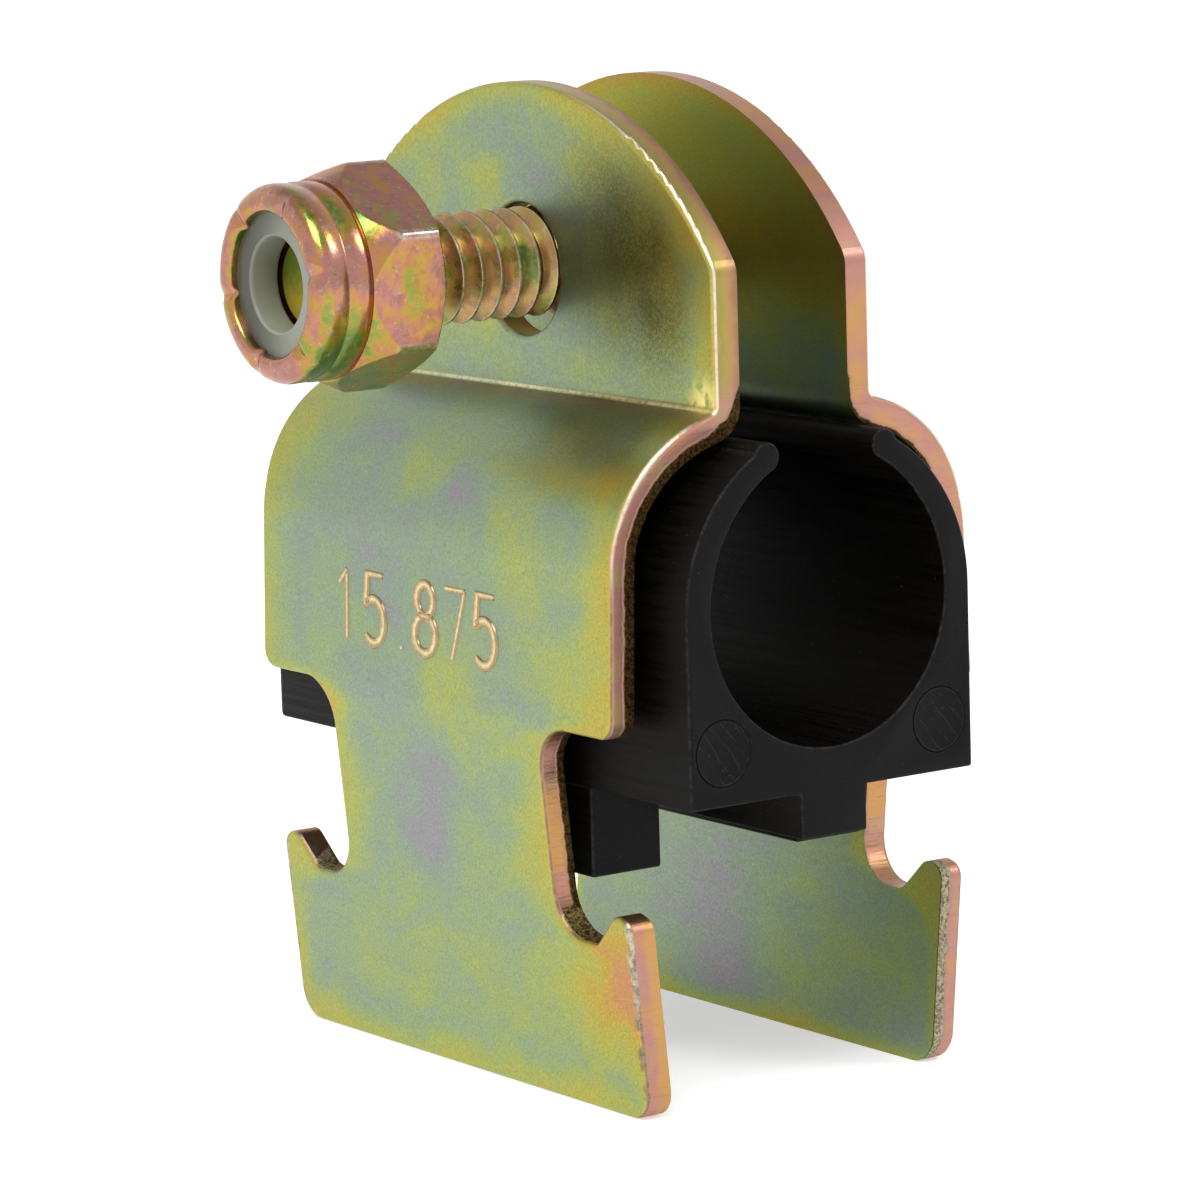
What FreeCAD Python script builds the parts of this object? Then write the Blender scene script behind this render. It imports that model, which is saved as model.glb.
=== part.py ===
import FreeCAD, Part
import math
import os

# Cushioned clamp that holds a tube on slotted channel.
# Two stamped steel halves close on a moulded cushion, drawn together by one
# bolt and a lock nut through their ears, and hook under the channel's lips.
#
# Frame: origin at the centre of the tube bore, halfway along it. +X runs along
# the bolt towards its head, Y along the tube, +Z up and away from the channel.
# Sizes are in millimetres and degrees.

# Tube and cushion
TUBE_DIAMETER = 15.875
ARM_WALL = 1.66
ARM_SPREAD = 0.56
CUSHION_LENGTH = 41.3
FLOOR_WALL = 2.36
ARM_GAP = 6.3
BEAD_RADIUS = 0.82
BEAD_INSET = 0.55
END_ROUND = 0.8
PIN_MARK_RADIUS = 1.8
PIN_MARK_DEPTH = 0.08
PIN_MARK_SPACING = 14.7
PIN_MARK_RISE = 2.9

# Channel that the clamp hooks into, and what reaches into its slot
SLOT_WIDTH = 22.2
LEG_CLEARANCE = 0.1
LEG_WIDTH = 4.6
LEG_DEPTH = 5.05
LEG_INSET = 0.3
RIB_WIDTH = 4.4
RIB_DEPTH = 2.54
NECK_CLEARANCE = 0.75

# Stamped halves: section across the tube
SHEET = 1.6
JAW_GAP = 1.25
EAR_GAP = 7.32
CROWN_CLEARANCE = 0.85
SHOULDER_SLOPE = 18.0
SHOULDER_RADIUS = 8.4
CREASE_RADIUS = 0.4
WALL_SPLAY = 2.0
KNEE_RADIUS = 6.0
LEG_LEAN = 5.2
EDGE_ROLL = 0.3

# Stamped halves: outline seen along the bolt
EAR_WIDTH = 35.8
EAR_ABOVE_HOLE = 10.4
EAR_CROWN_RADIUS = 21.8
EAR_CORNER_ROUND = 1.5
BODY_WIDTH = 34.7
TAPER_TOP = 9.5
TAPER_BOTTOM = 4.0
TAPER_ROUND = 6.0
NOTCH_TOP = -6.6
NOTCH_HEIGHT = 11.65
NOTCH_OUTER_ROUND = 1.1
NOTCH_INNER_ROUND = 2.6
POCKET_ROUND = 2.5
HOOK_RISE = 2.0
HOOK_ROUND = 0.9
HOOK_SLANT = 2.0
HOOK_LAND = 1.4
TIP_DROP = 0.4
FOOT_DEPTH = 9.45
FOOT_ROUND = 1.7

# Bolt, a quarter inch by twenty threads to the inch, its thread drawn as a
# plain cylinder as wide as the crests
BOLT_DIAMETER = 6.2
HOLE_CLEARANCE = 0.58
HOLE_ABOVE_CREASE = 6.6
BOLT_LIFT = 0.42
BOLT_LENGTH = 24.8
BOLT_END_CHAMFER = 0.65
HEAD_FLATS = 11.11
HEAD_HEIGHT = 4.1
HEAD_SEAT_GAP = 0.1

# Lock nut with a nylon ring crimped into its collar
NUT_FLATS = 11.11
NUT_HEX_HEIGHT = 4.6
NUT_COLLAR_HEIGHT = 3.35
NUT_COLLAR_RADIUS = 5.45
NUT_LIP_RADIUS = 3.95
NUT_LIP_THICKNESS = 0.6
NUT_LIP_ROUND = 1.0
NUT_SEAM_WIDTH = 0.4
NUT_SEAM_DEPTH = 0.34
NUT_TURN = 5.0
THREAD_CLEARANCE = 0.04
CORNER_CHAMFER = 30.0
NUT_FRONT_CHAMFER = 66.0
HEX_CORNER_ROUND = 0.4
INSERT_RADIUS = 4.4
INSERT_THICKNESS = 1.9
INSERT_BORE = 5.2
TIP_GAP = 0.05

# Worked out from the sizes above
BORE_RADIUS = TUBE_DIAMETER / 2
CUSHION_RADIUS = BORE_RADIUS + ARM_WALL
UNDERSIDE = -(BORE_RADIUS + FLOOR_WALL)
SLOT_LEG_LENGTH = SLOT_WIDTH - 2 * LEG_CLEARANCE
NECK_HALF = SLOT_WIDTH / 2 - NECK_CLEARANCE
EAR_OUTER = EAR_GAP / 2 + SHEET
WALL_OUTER = CUSHION_RADIUS + JAW_GAP + SHEET
CREASE_HEIGHT = CUSHION_RADIUS + CROWN_CLEARANCE
POCKET_BOTTOM = NOTCH_TOP - NOTCH_HEIGHT
FOOT_BOTTOM = POCKET_BOTTOM - FOOT_DEPTH
HOLE_HEIGHT = CREASE_HEIGHT + HOLE_ABOVE_CREASE
EAR_TOP = HOLE_HEIGHT + EAR_ABOVE_HOLE
BOLT_RADIUS = BOLT_DIAMETER / 2
HOLE_RADIUS = BOLT_RADIUS + HOLE_CLEARANCE
BOLT_HEIGHT = HOLE_HEIGHT + BOLT_LIFT
HEAD_FACE = EAR_OUTER + HEAD_SEAT_GAP
BOLT_TIP = HEAD_FACE - BOLT_LENGTH
# The nut is run on by hand until its nylon ring meets the bolt's tip.
INSERT_BACK = BOLT_TIP - TIP_GAP
INSERT_FRONT = INSERT_BACK - INSERT_THICKNESS
NUT_FRONT = INSERT_FRONT - NUT_LIP_THICKNESS
HEX_FRONT = NUT_FRONT + NUT_COLLAR_HEIGHT
NUT_FACE = HEX_FRONT + NUT_HEX_HEIGHT
NUT_BORE_RADIUS = BOLT_RADIUS + THREAD_CLEARANCE
SQRT3 = math.sqrt(3)

MARGIN = 5.0


def vector(x, y, z):
    return FreeCAD.Vector(x, y, z)


def in_section(u, v):
    """A point of the section across the tube: u along X, v along Z."""
    return vector(u, 0, v)


def in_outline(u, v):
    """A point of the outline seen along the bolt: u along Y, v along Z."""
    return vector(0, u, v)


def corner_edges(corners, place, closed=True):
    """Edges along a path of (u, v, radius) corners, each rounded by its own radius."""
    count = len(corners)
    starts = []
    ends = []
    arcs = []
    for i, (u, v, radius) in enumerate(corners):
        here = FreeCAD.Vector(u, v, 0)
        if not closed and i in (0, count - 1) or radius == 0:
            starts.append(here)
            ends.append(here)
            arcs.append(None)
            continue
        before = FreeCAD.Vector(*corners[i - 1][:2], 0) - here
        after = FreeCAD.Vector(*corners[(i + 1) % count][:2], 0) - here
        half_angle = before.getAngle(after) / 2
        before.normalize()
        after.normalize()
        reach = radius / math.tan(half_angle)
        middle = before + after
        middle.normalize()
        middle = here + middle * (radius / math.sin(half_angle) - radius)
        starts.append(here + before * reach)
        ends.append(here + after * reach)
        arcs.append(middle)
    edges = []
    for i in range(count):
        if arcs[i] is not None:
            points = [place(p.x, p.y) for p in (starts[i], arcs[i], ends[i])]
            edges.append(Part.Arc(*points).toShape())
        if closed or i < count - 1:
            start = ends[i]
            end = starts[(i + 1) % count]
            if (end - start).Length > 1e-6:
                edges.append(Part.makeLine(place(start.x, start.y), place(end.x, end.y)))
    return edges


def prism(edges, direction):
    """The solid swept by a closed set of edges along a direction."""
    wire = Part.Wire(Part.__sortEdges__(edges))
    return Part.Face(wire).extrude(direction)


def rail_offset(points, distance):
    """The corner points of an open path, moved sideways by a distance."""
    normals = []
    for (u0, v0), (u1, v1) in zip(points, points[1:]):
        length = math.hypot(u1 - u0, v1 - v0)
        normals.append(((v1 - v0) / length, -(u1 - u0) / length))
    moved = []
    for i, (u, v) in enumerate(points):
        first = normals[max(i - 1, 0)]
        second = normals[min(i, len(normals) - 1)]
        mitre = 1 + first[0] * second[0] + first[1] * second[1]
        moved.append((u + distance * (first[0] + second[0]) / mitre,
                      v + distance * (first[1] + second[1]) / mitre))
    return moved


def half_section():
    """Bent strip of the head side half: ear, shoulder over the cushion, wall, leaning leg."""
    slope = math.tan(math.radians(SHOULDER_SLOPE))
    splay = math.tan(math.radians(WALL_SPLAY))
    lean = math.tan(math.radians(LEG_LEAN))
    top = EAR_TOP + MARGIN
    bottom = FOOT_BOTTOM - MARGIN
    # Where the shoulder's line and the wall's line would meet without the bend.
    rise = CREASE_HEIGHT - NOTCH_TOP
    run = (WALL_OUTER - EAR_OUTER - rise * splay) / (1 - slope * splay)
    outside = [(EAR_OUTER, top), (EAR_OUTER, CREASE_HEIGHT), (EAR_OUTER + run, CREASE_HEIGHT - run * slope),
               (WALL_OUTER, NOTCH_TOP), (WALL_OUTER - (NOTCH_TOP - bottom) * lean, bottom)]
    inside = rail_offset(outside, SHEET)
    outer_radii = [0, CREASE_RADIUS, SHOULDER_RADIUS, KNEE_RADIUS + SHEET, 0]
    inner_radii = [0, CREASE_RADIUS + SHEET, SHOULDER_RADIUS - SHEET, KNEE_RADIUS, 0]
    path = [(u, v, r) for (u, v), r in zip(outside, outer_radii)]
    path += [(u, v, r) for (u, v), r in zip(reversed(inside), reversed(inner_radii))]
    edges = corner_edges(path, in_section)
    width = EAR_WIDTH + 2 * MARGIN
    strip = prism(edges, vector(0, width, 0))
    strip.translate(vector(0, -width / 2, 0))
    return strip


def half_outline():
    """Stamped outline of a half: domed ear, body, hook notches and foot."""
    ear = EAR_WIDTH / 2
    body = BODY_WIDTH / 2
    tip = POCKET_BOTTOM + HOOK_RISE
    floor = body - HOOK_LAND - HOOK_SLANT
    pocket_round = min(POCKET_ROUND, (floor - NECK_HALF) * 0.8)
    side = [(ear, EAR_TOP + MARGIN, 0),
            (ear, TAPER_TOP, TAPER_ROUND),
            (body, TAPER_BOTTOM, TAPER_ROUND),
            (body, NOTCH_TOP, NOTCH_OUTER_ROUND),
            (NECK_HALF, NOTCH_TOP, NOTCH_INNER_ROUND),
            (NECK_HALF, POCKET_BOTTOM, pocket_round),
            (floor, POCKET_BOTTOM, HOOK_ROUND),
            (body - HOOK_LAND, tip, HOOK_ROUND),
            (body, tip - TIP_DROP, HOOK_ROUND),
            (body, FOOT_BOTTOM, FOOT_ROUND)]
    mirrored = [(-u, v, r) for u, v, r in reversed(side)]
    reach = 2 * (WALL_OUTER + MARGIN)
    flat = prism(corner_edges(side + mirrored, in_outline), vector(reach, 0, 0))
    crown = Part.makeCylinder(EAR_CROWN_RADIUS, reach, vector(0, 0, EAR_TOP - EAR_CROWN_RADIUS), vector(1, 0, 0))
    below = Part.makeBox(reach, EAR_WIDTH + 2 * MARGIN, EAR_TOP - EAR_CROWN_RADIUS - FOOT_BOTTOM + MARGIN,
                         vector(0, -EAR_WIDTH / 2 - MARGIN, FOOT_BOTTOM - MARGIN))
    flat = flat.common(crown.fuse(below)).removeSplitter()
    corner_height = EAR_TOP - EAR_CROWN_RADIUS + math.sqrt(EAR_CROWN_RADIUS ** 2 - ear ** 2)
    corners = [e for e in flat.Edges
               if abs(abs(e.CenterOfMass.y) - ear) < 1e-3 and abs(e.CenterOfMass.z - corner_height) < 1e-3]
    flat = flat.makeFillet(EAR_CORNER_ROUND, corners)
    hole = Part.makeCylinder(HOLE_RADIUS, reach, vector(0, 0, HOLE_HEIGHT), vector(1, 0, 0))
    return flat.cut(hole)


def clamp_half():
    """The head side half: one stamped and bent piece, its outer edges rolled over by the die."""
    blank = half_section().common(half_outline()).removeSplitter()
    return blank.makeFillet(EDGE_ROLL, rolled_edges(blank))


def rolled_edges(blank):
    """The edges round the outer skin, where the punch went in."""
    skins = [f for f in blank.Faces if faces_away(f)]
    cuts = [f for f in blank.Faces if is_cut(f)]
    edges = []
    for skin in skins:
        for edge in skin.Edges:
            if any(edge.isSame(other) for cut in cuts for other in cut.Edges):
                edges.append(edge)
    return edges


def face_normal(face):
    """The outward normal in the middle of a face."""
    u0, u1, v0, v1 = face.ParameterRange
    return face.normalAt((u0 + u1) / 2, (v0 + v1) / 2)


def is_cut(face):
    """Whether a face was made by the punch, so that it runs along X."""
    return abs(face_normal(face).x) < 1e-6


def faces_away(face):
    """Whether a face is part of the skin that looks away from the tube."""
    normal = face_normal(face)
    return abs(normal.y) < 1e-6 and normal.x > 1e-3


def cushion():
    """One moulding: split ring on a block, with a seating rib and two slot legs below."""
    start = vector(0, -CUSHION_LENGTH / 2, 0)
    along = vector(0, 1, 0)
    ring = Part.makeCylinder(CUSHION_RADIUS, CUSHION_LENGTH, start, along)
    block = Part.makeBox(2 * CUSHION_RADIUS, CUSHION_LENGTH, -UNDERSIDE,
                         vector(-CUSHION_RADIUS, -CUSHION_LENGTH / 2, UNDERSIDE))
    body = round_hidden_end(ring.fuse(block).removeSplitter())
    body = body.cut(prism(bore_edges(), vector(0, CUSHION_LENGTH, 0)).translated(start))
    mouth = ARM_GAP / 2 + BEAD_RADIUS
    bead_height = math.sqrt((CUSHION_RADIUS - BEAD_INSET) ** 2 - mouth ** 2)
    spread = (CUSHION_RADIUS + MARGIN) / bead_height
    wedge = [(0, 0, 0), (mouth * spread, bead_height * spread, 0), (-mouth * spread, bead_height * spread, 0)]
    body = body.cut(prism(corner_edges(wedge, in_section), vector(0, CUSHION_LENGTH, 0)).translated(start))
    beads = [Part.makeCylinder(BEAD_RADIUS, CUSHION_LENGTH, start + vector(side * mouth, 0, bead_height), along)
             for side in (-1, 1)]
    rib = Part.makeBox(RIB_WIDTH, CUSHION_LENGTH, RIB_DEPTH,
                       vector(-RIB_WIDTH / 2, -CUSHION_LENGTH / 2, UNDERSIDE - RIB_DEPTH))
    legs = []
    for side in (-1, 1):
        middle_x = side * (CUSHION_RADIUS - LEG_INSET - LEG_WIDTH / 2)
        legs.append(Part.makeBox(LEG_WIDTH, SLOT_LEG_LENGTH, LEG_DEPTH,
                                 vector(middle_x - LEG_WIDTH / 2, -SLOT_LEG_LENGTH / 2, UNDERSIDE - LEG_DEPTH)))
    marks = [Part.makeCylinder(PIN_MARK_RADIUS, PIN_MARK_DEPTH,
                               start + vector(side * PIN_MARK_SPACING / 2, 0, UNDERSIDE + PIN_MARK_RISE), along)
             for side in (-1, 1)]
    return body.fuse(beads + [rib] + legs).removeSplitter().cut(marks)


def bore_edges():
    """Section of the bore: half round below, and above it two arms that stand slightly open."""
    arm_radius = BORE_RADIUS + ARM_SPREAD
    peak = math.sqrt(arm_radius ** 2 - ARM_SPREAD ** 2)
    half_angle = math.atan2(peak, ARM_SPREAD) / 2
    across = arm_radius * math.cos(half_angle) - ARM_SPREAD
    up = arm_radius * math.sin(half_angle)
    left = in_section(-BORE_RADIUS, 0)
    right = in_section(BORE_RADIUS, 0)
    top = in_section(0, peak)
    return [Part.Arc(left, in_section(0, -BORE_RADIUS), right).toShape(),
            Part.Arc(right, in_section(across, up), top).toShape(),
            Part.Arc(top, in_section(-across, up), left).toShape()]


def round_hidden_end(body):
    """Round the outer edges of the cushion's far end face, where the mould is deepest."""
    end = CUSHION_LENGTH / 2
    edges = [e for e in body.Edges if all(abs(v.Y - end) < 1e-6 for v in e.Vertexes)]
    return body.makeFillet(END_ROUND, edges)


def hexagon(flats, length, start, turn=0.0):
    """A round-cornered hexagonal bar along +X from a plane, its flats facing Y before the turn."""
    radius = flats / SQRT3
    corners = []
    for i in range(6):
        angle = math.radians(90 + 60 * i + turn)
        corners.append((radius * math.cos(angle), radius * math.sin(angle), HEX_CORNER_ROUND))
    bar = prism(corner_edges(corners, in_outline), vector(length, 0, 0))
    bar.translate(vector(start, 0, BOLT_HEIGHT))
    return bar


def turned(profile):
    """A solid of revolution about the bolt's axis from (x, radius) points."""
    points = [vector(x, 0, BOLT_HEIGHT + r) for x, r in profile]
    face = Part.Face(Part.makePolygon(points + points[:1]))
    return face.revolve(vector(0, 0, BOLT_HEIGHT), vector(1, 0, 0), 360)


def chamfered_bar(flats, low, high, low_chamfer, high_chamfer):
    """The cylinder that trims a hexagon's corners, each end a cone at its angle to the end face, or plain at 0."""
    apothem = flats / 2
    corner = flats / SQRT3
    low_drop = (corner - apothem) * math.tan(math.radians(low_chamfer))
    high_drop = (corner - apothem) * math.tan(math.radians(high_chamfer))
    margin = corner * 0.05
    profile = [(low, 0)]
    profile += [(low, apothem), (low + low_drop, corner)] if low_chamfer else [(low, corner + margin)]
    profile += [(high - high_drop, corner), (high, apothem)] if high_chamfer else [(high, corner + margin)]
    profile.append((high, 0))
    return turned(profile)


def bolt():
    """Hex head bolt, its head against the head side ear, threaded to the head."""
    head = hexagon(HEAD_FLATS, HEAD_HEIGHT, HEAD_FACE)
    head = head.common(chamfered_bar(HEAD_FLATS, HEAD_FACE, HEAD_FACE + HEAD_HEIGHT, 0, CORNER_CHAMFER))
    shank = turned([(BOLT_TIP, 0), (BOLT_TIP, BOLT_RADIUS - BOLT_END_CHAMFER),
                    (BOLT_TIP + BOLT_END_CHAMFER, BOLT_RADIUS), (HEAD_FACE, BOLT_RADIUS), (HEAD_FACE, 0)])
    return head.fuse(shank).removeSplitter()


def lock_nut():
    """Steel lock nut: hexagon, round collar with a seam at its root, and the lip that holds the insert."""
    body = hexagon(NUT_FLATS, NUT_HEX_HEIGHT, HEX_FRONT, NUT_TURN)
    body = body.common(chamfered_bar(NUT_FLATS, HEX_FRONT, NUT_FACE, NUT_FRONT_CHAMFER, CORNER_CHAMFER))
    collar = Part.makeCylinder(NUT_COLLAR_RADIUS, NUT_COLLAR_HEIGHT,
                               vector(NUT_FRONT, 0, BOLT_HEIGHT), vector(1, 0, 0))
    lip = [e for e in collar.Edges if len(e.Vertexes) == 1 and abs(e.Vertexes[0].X - NUT_FRONT) < 1e-6]
    collar = collar.makeFillet(NUT_LIP_ROUND, lip)
    seam = turned([(HEX_FRONT, NUT_COLLAR_RADIUS - NUT_SEAM_DEPTH), (HEX_FRONT, NUT_FLATS),
                   (HEX_FRONT - NUT_SEAM_WIDTH, NUT_FLATS), (HEX_FRONT - NUT_SEAM_WIDTH, NUT_COLLAR_RADIUS),
                   (HEX_FRONT - 0.4 * NUT_SEAM_WIDTH, NUT_COLLAR_RADIUS - NUT_SEAM_DEPTH)])
    collar = collar.cut(seam)
    cavity = turned([(NUT_FRONT, 0), (NUT_FRONT, NUT_LIP_RADIUS), (INSERT_FRONT, NUT_LIP_RADIUS),
                     (INSERT_FRONT, INSERT_RADIUS), (INSERT_BACK, INSERT_RADIUS),
                     (INSERT_BACK, NUT_BORE_RADIUS), (NUT_FACE, NUT_BORE_RADIUS), (NUT_FACE, 0)])
    return body.fuse(collar).cut(cavity).removeSplitter()


def nylon_insert():
    """Nylon ring held under the nut's lip, not yet cut by the bolt's thread."""
    bore = INSERT_BORE / 2
    return turned([(INSERT_FRONT, bore), (INSERT_FRONT, INSERT_RADIUS),
                   (INSERT_BACK, INSERT_RADIUS), (INSERT_BACK, bore)])


def main():
    os.makedirs("parts", exist_ok=True)
    head_side = clamp_half()
    nut_side = head_side.mirror(vector(0, 0, 0), vector(1, 0, 0))
    pieces = {
        "head_side_clamp_half": head_side,
        "nut_side_clamp_half": nut_side,
        "cushion": cushion(),
        "bolt": bolt(),
        "lock_nut": lock_nut(),
        "nylon_insert": nylon_insert(),
    }
    for name, shape in pieces.items():
        solids = shape.Solids
        if len(solids) != 1 or not solids[0].isValid():
            raise ValueError(name + " is not one valid solid")
        solids[0].exportStep("parts/" + name + ".step")
        box = shape.BoundBox
        print("%s: %.1f x %.1f x %.1f mm, %.0f mm3"
              % (name, box.XLength, box.YLength, box.ZLength, shape.Volume))


main()
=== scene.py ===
import math

import bmesh
import bpy
from mathutils import Matrix, Vector
from mathutils.bvhtree import BVHTree


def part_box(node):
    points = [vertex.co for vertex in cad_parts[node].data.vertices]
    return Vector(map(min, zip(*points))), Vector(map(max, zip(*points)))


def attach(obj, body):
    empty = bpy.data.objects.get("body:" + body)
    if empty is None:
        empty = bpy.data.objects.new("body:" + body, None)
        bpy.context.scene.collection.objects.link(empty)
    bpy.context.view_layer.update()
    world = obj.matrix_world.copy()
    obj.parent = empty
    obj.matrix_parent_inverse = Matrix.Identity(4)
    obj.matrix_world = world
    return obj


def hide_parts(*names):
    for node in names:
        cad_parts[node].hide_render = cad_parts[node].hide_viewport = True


# Looks of a cushioned pipe clamp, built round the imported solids. Lengths named below are in millimetres, and
# angles in degrees.
MM = 0.001

# Camera of the photograph: where it stands about the bore's centre, and how far it is moved aside and up
CAMERA_AZIMUTH = -35.204
CAMERA_ELEVATION = 8.901
CAMERA_ROLL = -1.706
CAMERA_DISTANCE = 307.017
CAMERA_ASIDE = -0.456
CAMERA_LIFT = -2.2
CAMERA_LENS = 162.25

# Bolt, a quarter inch by twenty threads to the inch
BOLT_RADIUS = 3.1
BOLT_POINT = 0.75
HEAD_FLATS = 11.11
HEAD_HEIGHT = 4.1
HEAD_FACE_SHARE = 0.6
THREAD_PITCH = 1.27
THREAD_DEPTH = 0.72
THREAD_INTO_HEAD = 0.2
TURN_STEPS = 96
# Across one pitch: share of the pitch from the crest's middle, and share of the depth
THREAD_PROFILE = [
    (-0.055, 0.03), (0.0, 0.0), (0.055, 0.03), (0.085, 0.1), (0.41, 0.93), (0.45, 1.0), (0.55, 1.0),
    (0.59, 0.93), (0.915, 0.1)]

# Lock nut
NUT_FLATS = 11.11
NUT_HEX_HEIGHT = 4.6
NUT_TURN = 5.0
NUT_STEPS = 360
HEX_CORNER_ROUND = 0.4
CORNER_CHAMFER = 30.0
CHAMFER_STEPS = 20
NUT_FRONT_CHAMFER = 66.0
NUT_COLLAR_RADIUS = 5.45
NUT_LIP_RADIUS = 3.95
NUT_LIP_ROUND = 1.0
NUT_LIP_STEPS = 8
NUT_INNER_ROUND = 0.35
NUT_INNER_STEPS = 4
NUT_BORE_RADIUS = 3.14
NUT_COUNTERSINK = 0.4
CRIMP_COUNT = 6
CRIMP_DEPTH = 0.3
CRIMP_INWARD = 0.5
CRIMP_WIDTH = 4.2
CRIMP_TURN = 45.0
# Seam and groove of the collar: distance in front of the hexagon, and depth below the collar's radius
COLLAR_PROFILE = [
    (0.0, 0.07), (0.05, 0.07), (0.12, 0.02), (0.3, 0.0), (1.15, 0.0), (1.32, 0.1), (1.45, 0.11), (1.62, 0.03)]

# Nylon ring and its cavity in the collar
CAVITY_RADIUS = 4.4
INSERT_RADIUS = 4.39
INSERT_BORE_RADIUS = 2.6
INSERT_EDGE = 0.25
INSERT_EDGE_STEPS = 4

# Cushion: rounding of its edges, and the round marks in its end face, each at its place along X and Z
CUSHION_EDGE = 0.16
CUSHION_EDGE_STEPS = 3
PIN_MARKS = [(-7.35, -7.4), (7.35, -7.4)]
PIN_MARK_RADIUS = 1.8
HATCH_SPACING = 0.82

# Stamped number on the near wall
WALL_AT_KNEE = 12.45
KNEE_HEIGHT = -6.6
WALL_SPLAY = 2.0
NUMBER = "15.875"
NUMBER_START = 9.6
NUMBER_BASE = -3.9
NUMBER_HEIGHT = 3.9
# Advance from one figure to the next, in shares of the height
FIGURE_ADVANCE = 0.765
POINT_ADVANCE = 0.54
STROKE_WIDTH = 0.66
STROKE_LIP = 0.08
STROKE_END_SHARE = 0.55
# Across a stroke: share of half its width, and share of its lip's height
STROKE_SECTION = [
    (-1.0, -0.3), (-0.8, 0.8), (-0.62, 1.0), (-0.4, 0.7), (-0.14, 0.1), (0.14, 0.1), (0.4, 0.7), (0.62, 1.0),
    (0.8, 0.8), (1.0, -0.3)]

# Bent sheet: its thickness, its ear's outer face, and where the ear turns into the shoulder
SHEET = 1.6
EAR_FACE = -5.3
CREASE_HEIGHT = 10.5

# Outline of a half, seen along the bolt, for the colour that changes towards its edges
EDGE_HALF_WIDTH = 17.6
CROWN_RADIUS = 21.8
CROWN_CENTRE = 5.65
NECK_HALF_WIDTH = 10.35
NOTCH_TOP = -6.6
POCKET_BOTTOM = -18.25
FOOT_BOTTOM = -27.7
OUTLINE_BLEND = 1.5

# Where meshes keep a sharp edge, and how near vertices are merged
SHARP_FROM = 35.0
CUSHION_SHARP_FROM = 40.0
WELD_DISTANCE = 0.0005
CUSHION_WELD_DISTANCE = 0.001

# Light levels: the world as mirrored, from straight down to straight up, the world on matte things, and the
# floor's glow to the camera and to what mirrors it
WORLD_LEVELS = [(0.0, 0.7), (0.45, 1.0), (0.76, 1.0), (0.86, 0.66), (1.0, 0.45)]
WORLD_DIFFUSE = 0.62
FLOOR_GLOW = 0.5
FLOOR_SHEEN = 0.4
FLOOR_GREY = 0.9
# Lamps: name, direction from the clamp, then distance and size in metres, and radiance
SOFTBOXES = [
    ("key_overhead", (-0.4, -0.4, 0.82), 0.75, 0.36, 6.0),
    ("glint_right", (0.57, -0.54, 0.62), 0.8, 0.2, 9.0)]
FLOOR_REACH_METRES = 6.0

# Places on the halves where the plating's film is thinner (gold) or thicker (violet): centre, reach, change
FILM_SPOTS = [
    ((-12.9, -3.0, 5.4), 4.0, 0.26), ((-12.0, 0.5, -11.0), 4.2, 0.26), ((-11.6, 1.5, -15.0), 4.0, 0.2),
    ((-12.7, 4.0, 1.5), 5.0, 0.1), ((EAR_FACE, 3.5, 21.6), 3.6, -0.28),
    ((EAR_FACE, 3.0, 26.0), 6.0, 0.06), ((-12.3, -2.0, -5.5), 6.0, -0.2),
    ((EAR_FACE, 9.0, 23.0), 6.0, -0.1), ((-11.4, 6.0, -19.5), 7.0, -0.12),
    ((-11.1, -15.9, -21.2), 5.0, -0.34), ((-10.9, -11.5, -22.5), 6.0, -0.12),
    ((-12.5, -14.5, -3.5), 5.0, -0.14), ((-12.4, 11.5, -6.5), 5.0, -0.16),
    ((-10.7, 9.0, -25.0), 9.0, -0.06), ((-12.7, 14.0, 9.0), 6.0, -0.12), ((-12.9, -12.5, 4.5), 5.0, 0.12),
    ((-10.5, 8.0, 9.0), 7.5, 0.2), ((-12.0, -8.3, 7.4), 1.5, -0.3), ((EAR_FACE, -6.5, 24.0), 6.0, -0.25),
    ((EAR_FACE, -13.0, 19.0), 6.0, -0.3), ((EAR_FACE, 4.0, 15.0), 6.0, -0.12),
    ((-10.9, 11.0, -21.0), 6.0, -0.1), ((11.0, 2.0, -22.0), 10.0, 0.22), ((-11.9, -14.6, 7.4), 3.2, -0.4),
    ((-12.1, -11.5, 7.3), 2.4, -0.25), ((-12.6, -1.3, 5.5), 2.6, 0.2), ((-10.5, -8.6, -27.0), 4.5, 0.16)]

# Faces of the nut with another film: the direction they face, how squarely (from, fully), and the change.
# Then the distance from the axis from which corners and crests are painted paler, partly wear and partly a
# painted highlight, and how far light spreads in nylon
NUT_TINTS = [
    ((0.0, -0.57, -0.82), 0.8, 0.95, -0.24), ((-0.41, -0.6, 0.6), 0.86, 0.95, -0.3),
    ((-0.41, -0.86, -0.3), 0.9, 0.97, -0.2), ((0.0, -0.42, 0.9), 0.85, 0.95, 0.06)]
NUT_RUBBED_AND_GLINT_FROM = 6.2
BOLT_RUBBED_AND_GLINT_FROM = BOLT_RADIUS - 0.12
NYLON_SCATTER_METRES = (0.0012, 0.0012, 0.001)


def rgb(red, green, blue):
    """A colour written as it looks on screen, from 0 to 255, as linear light."""
    channels = []
    for value in (red, green, blue):
        c = value / 255
        channels.append(c / 12.92 if c <= 0.04045 else ((c + 0.055) / 1.055) ** 2.4)
    return (*channels, 1.0)
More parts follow.
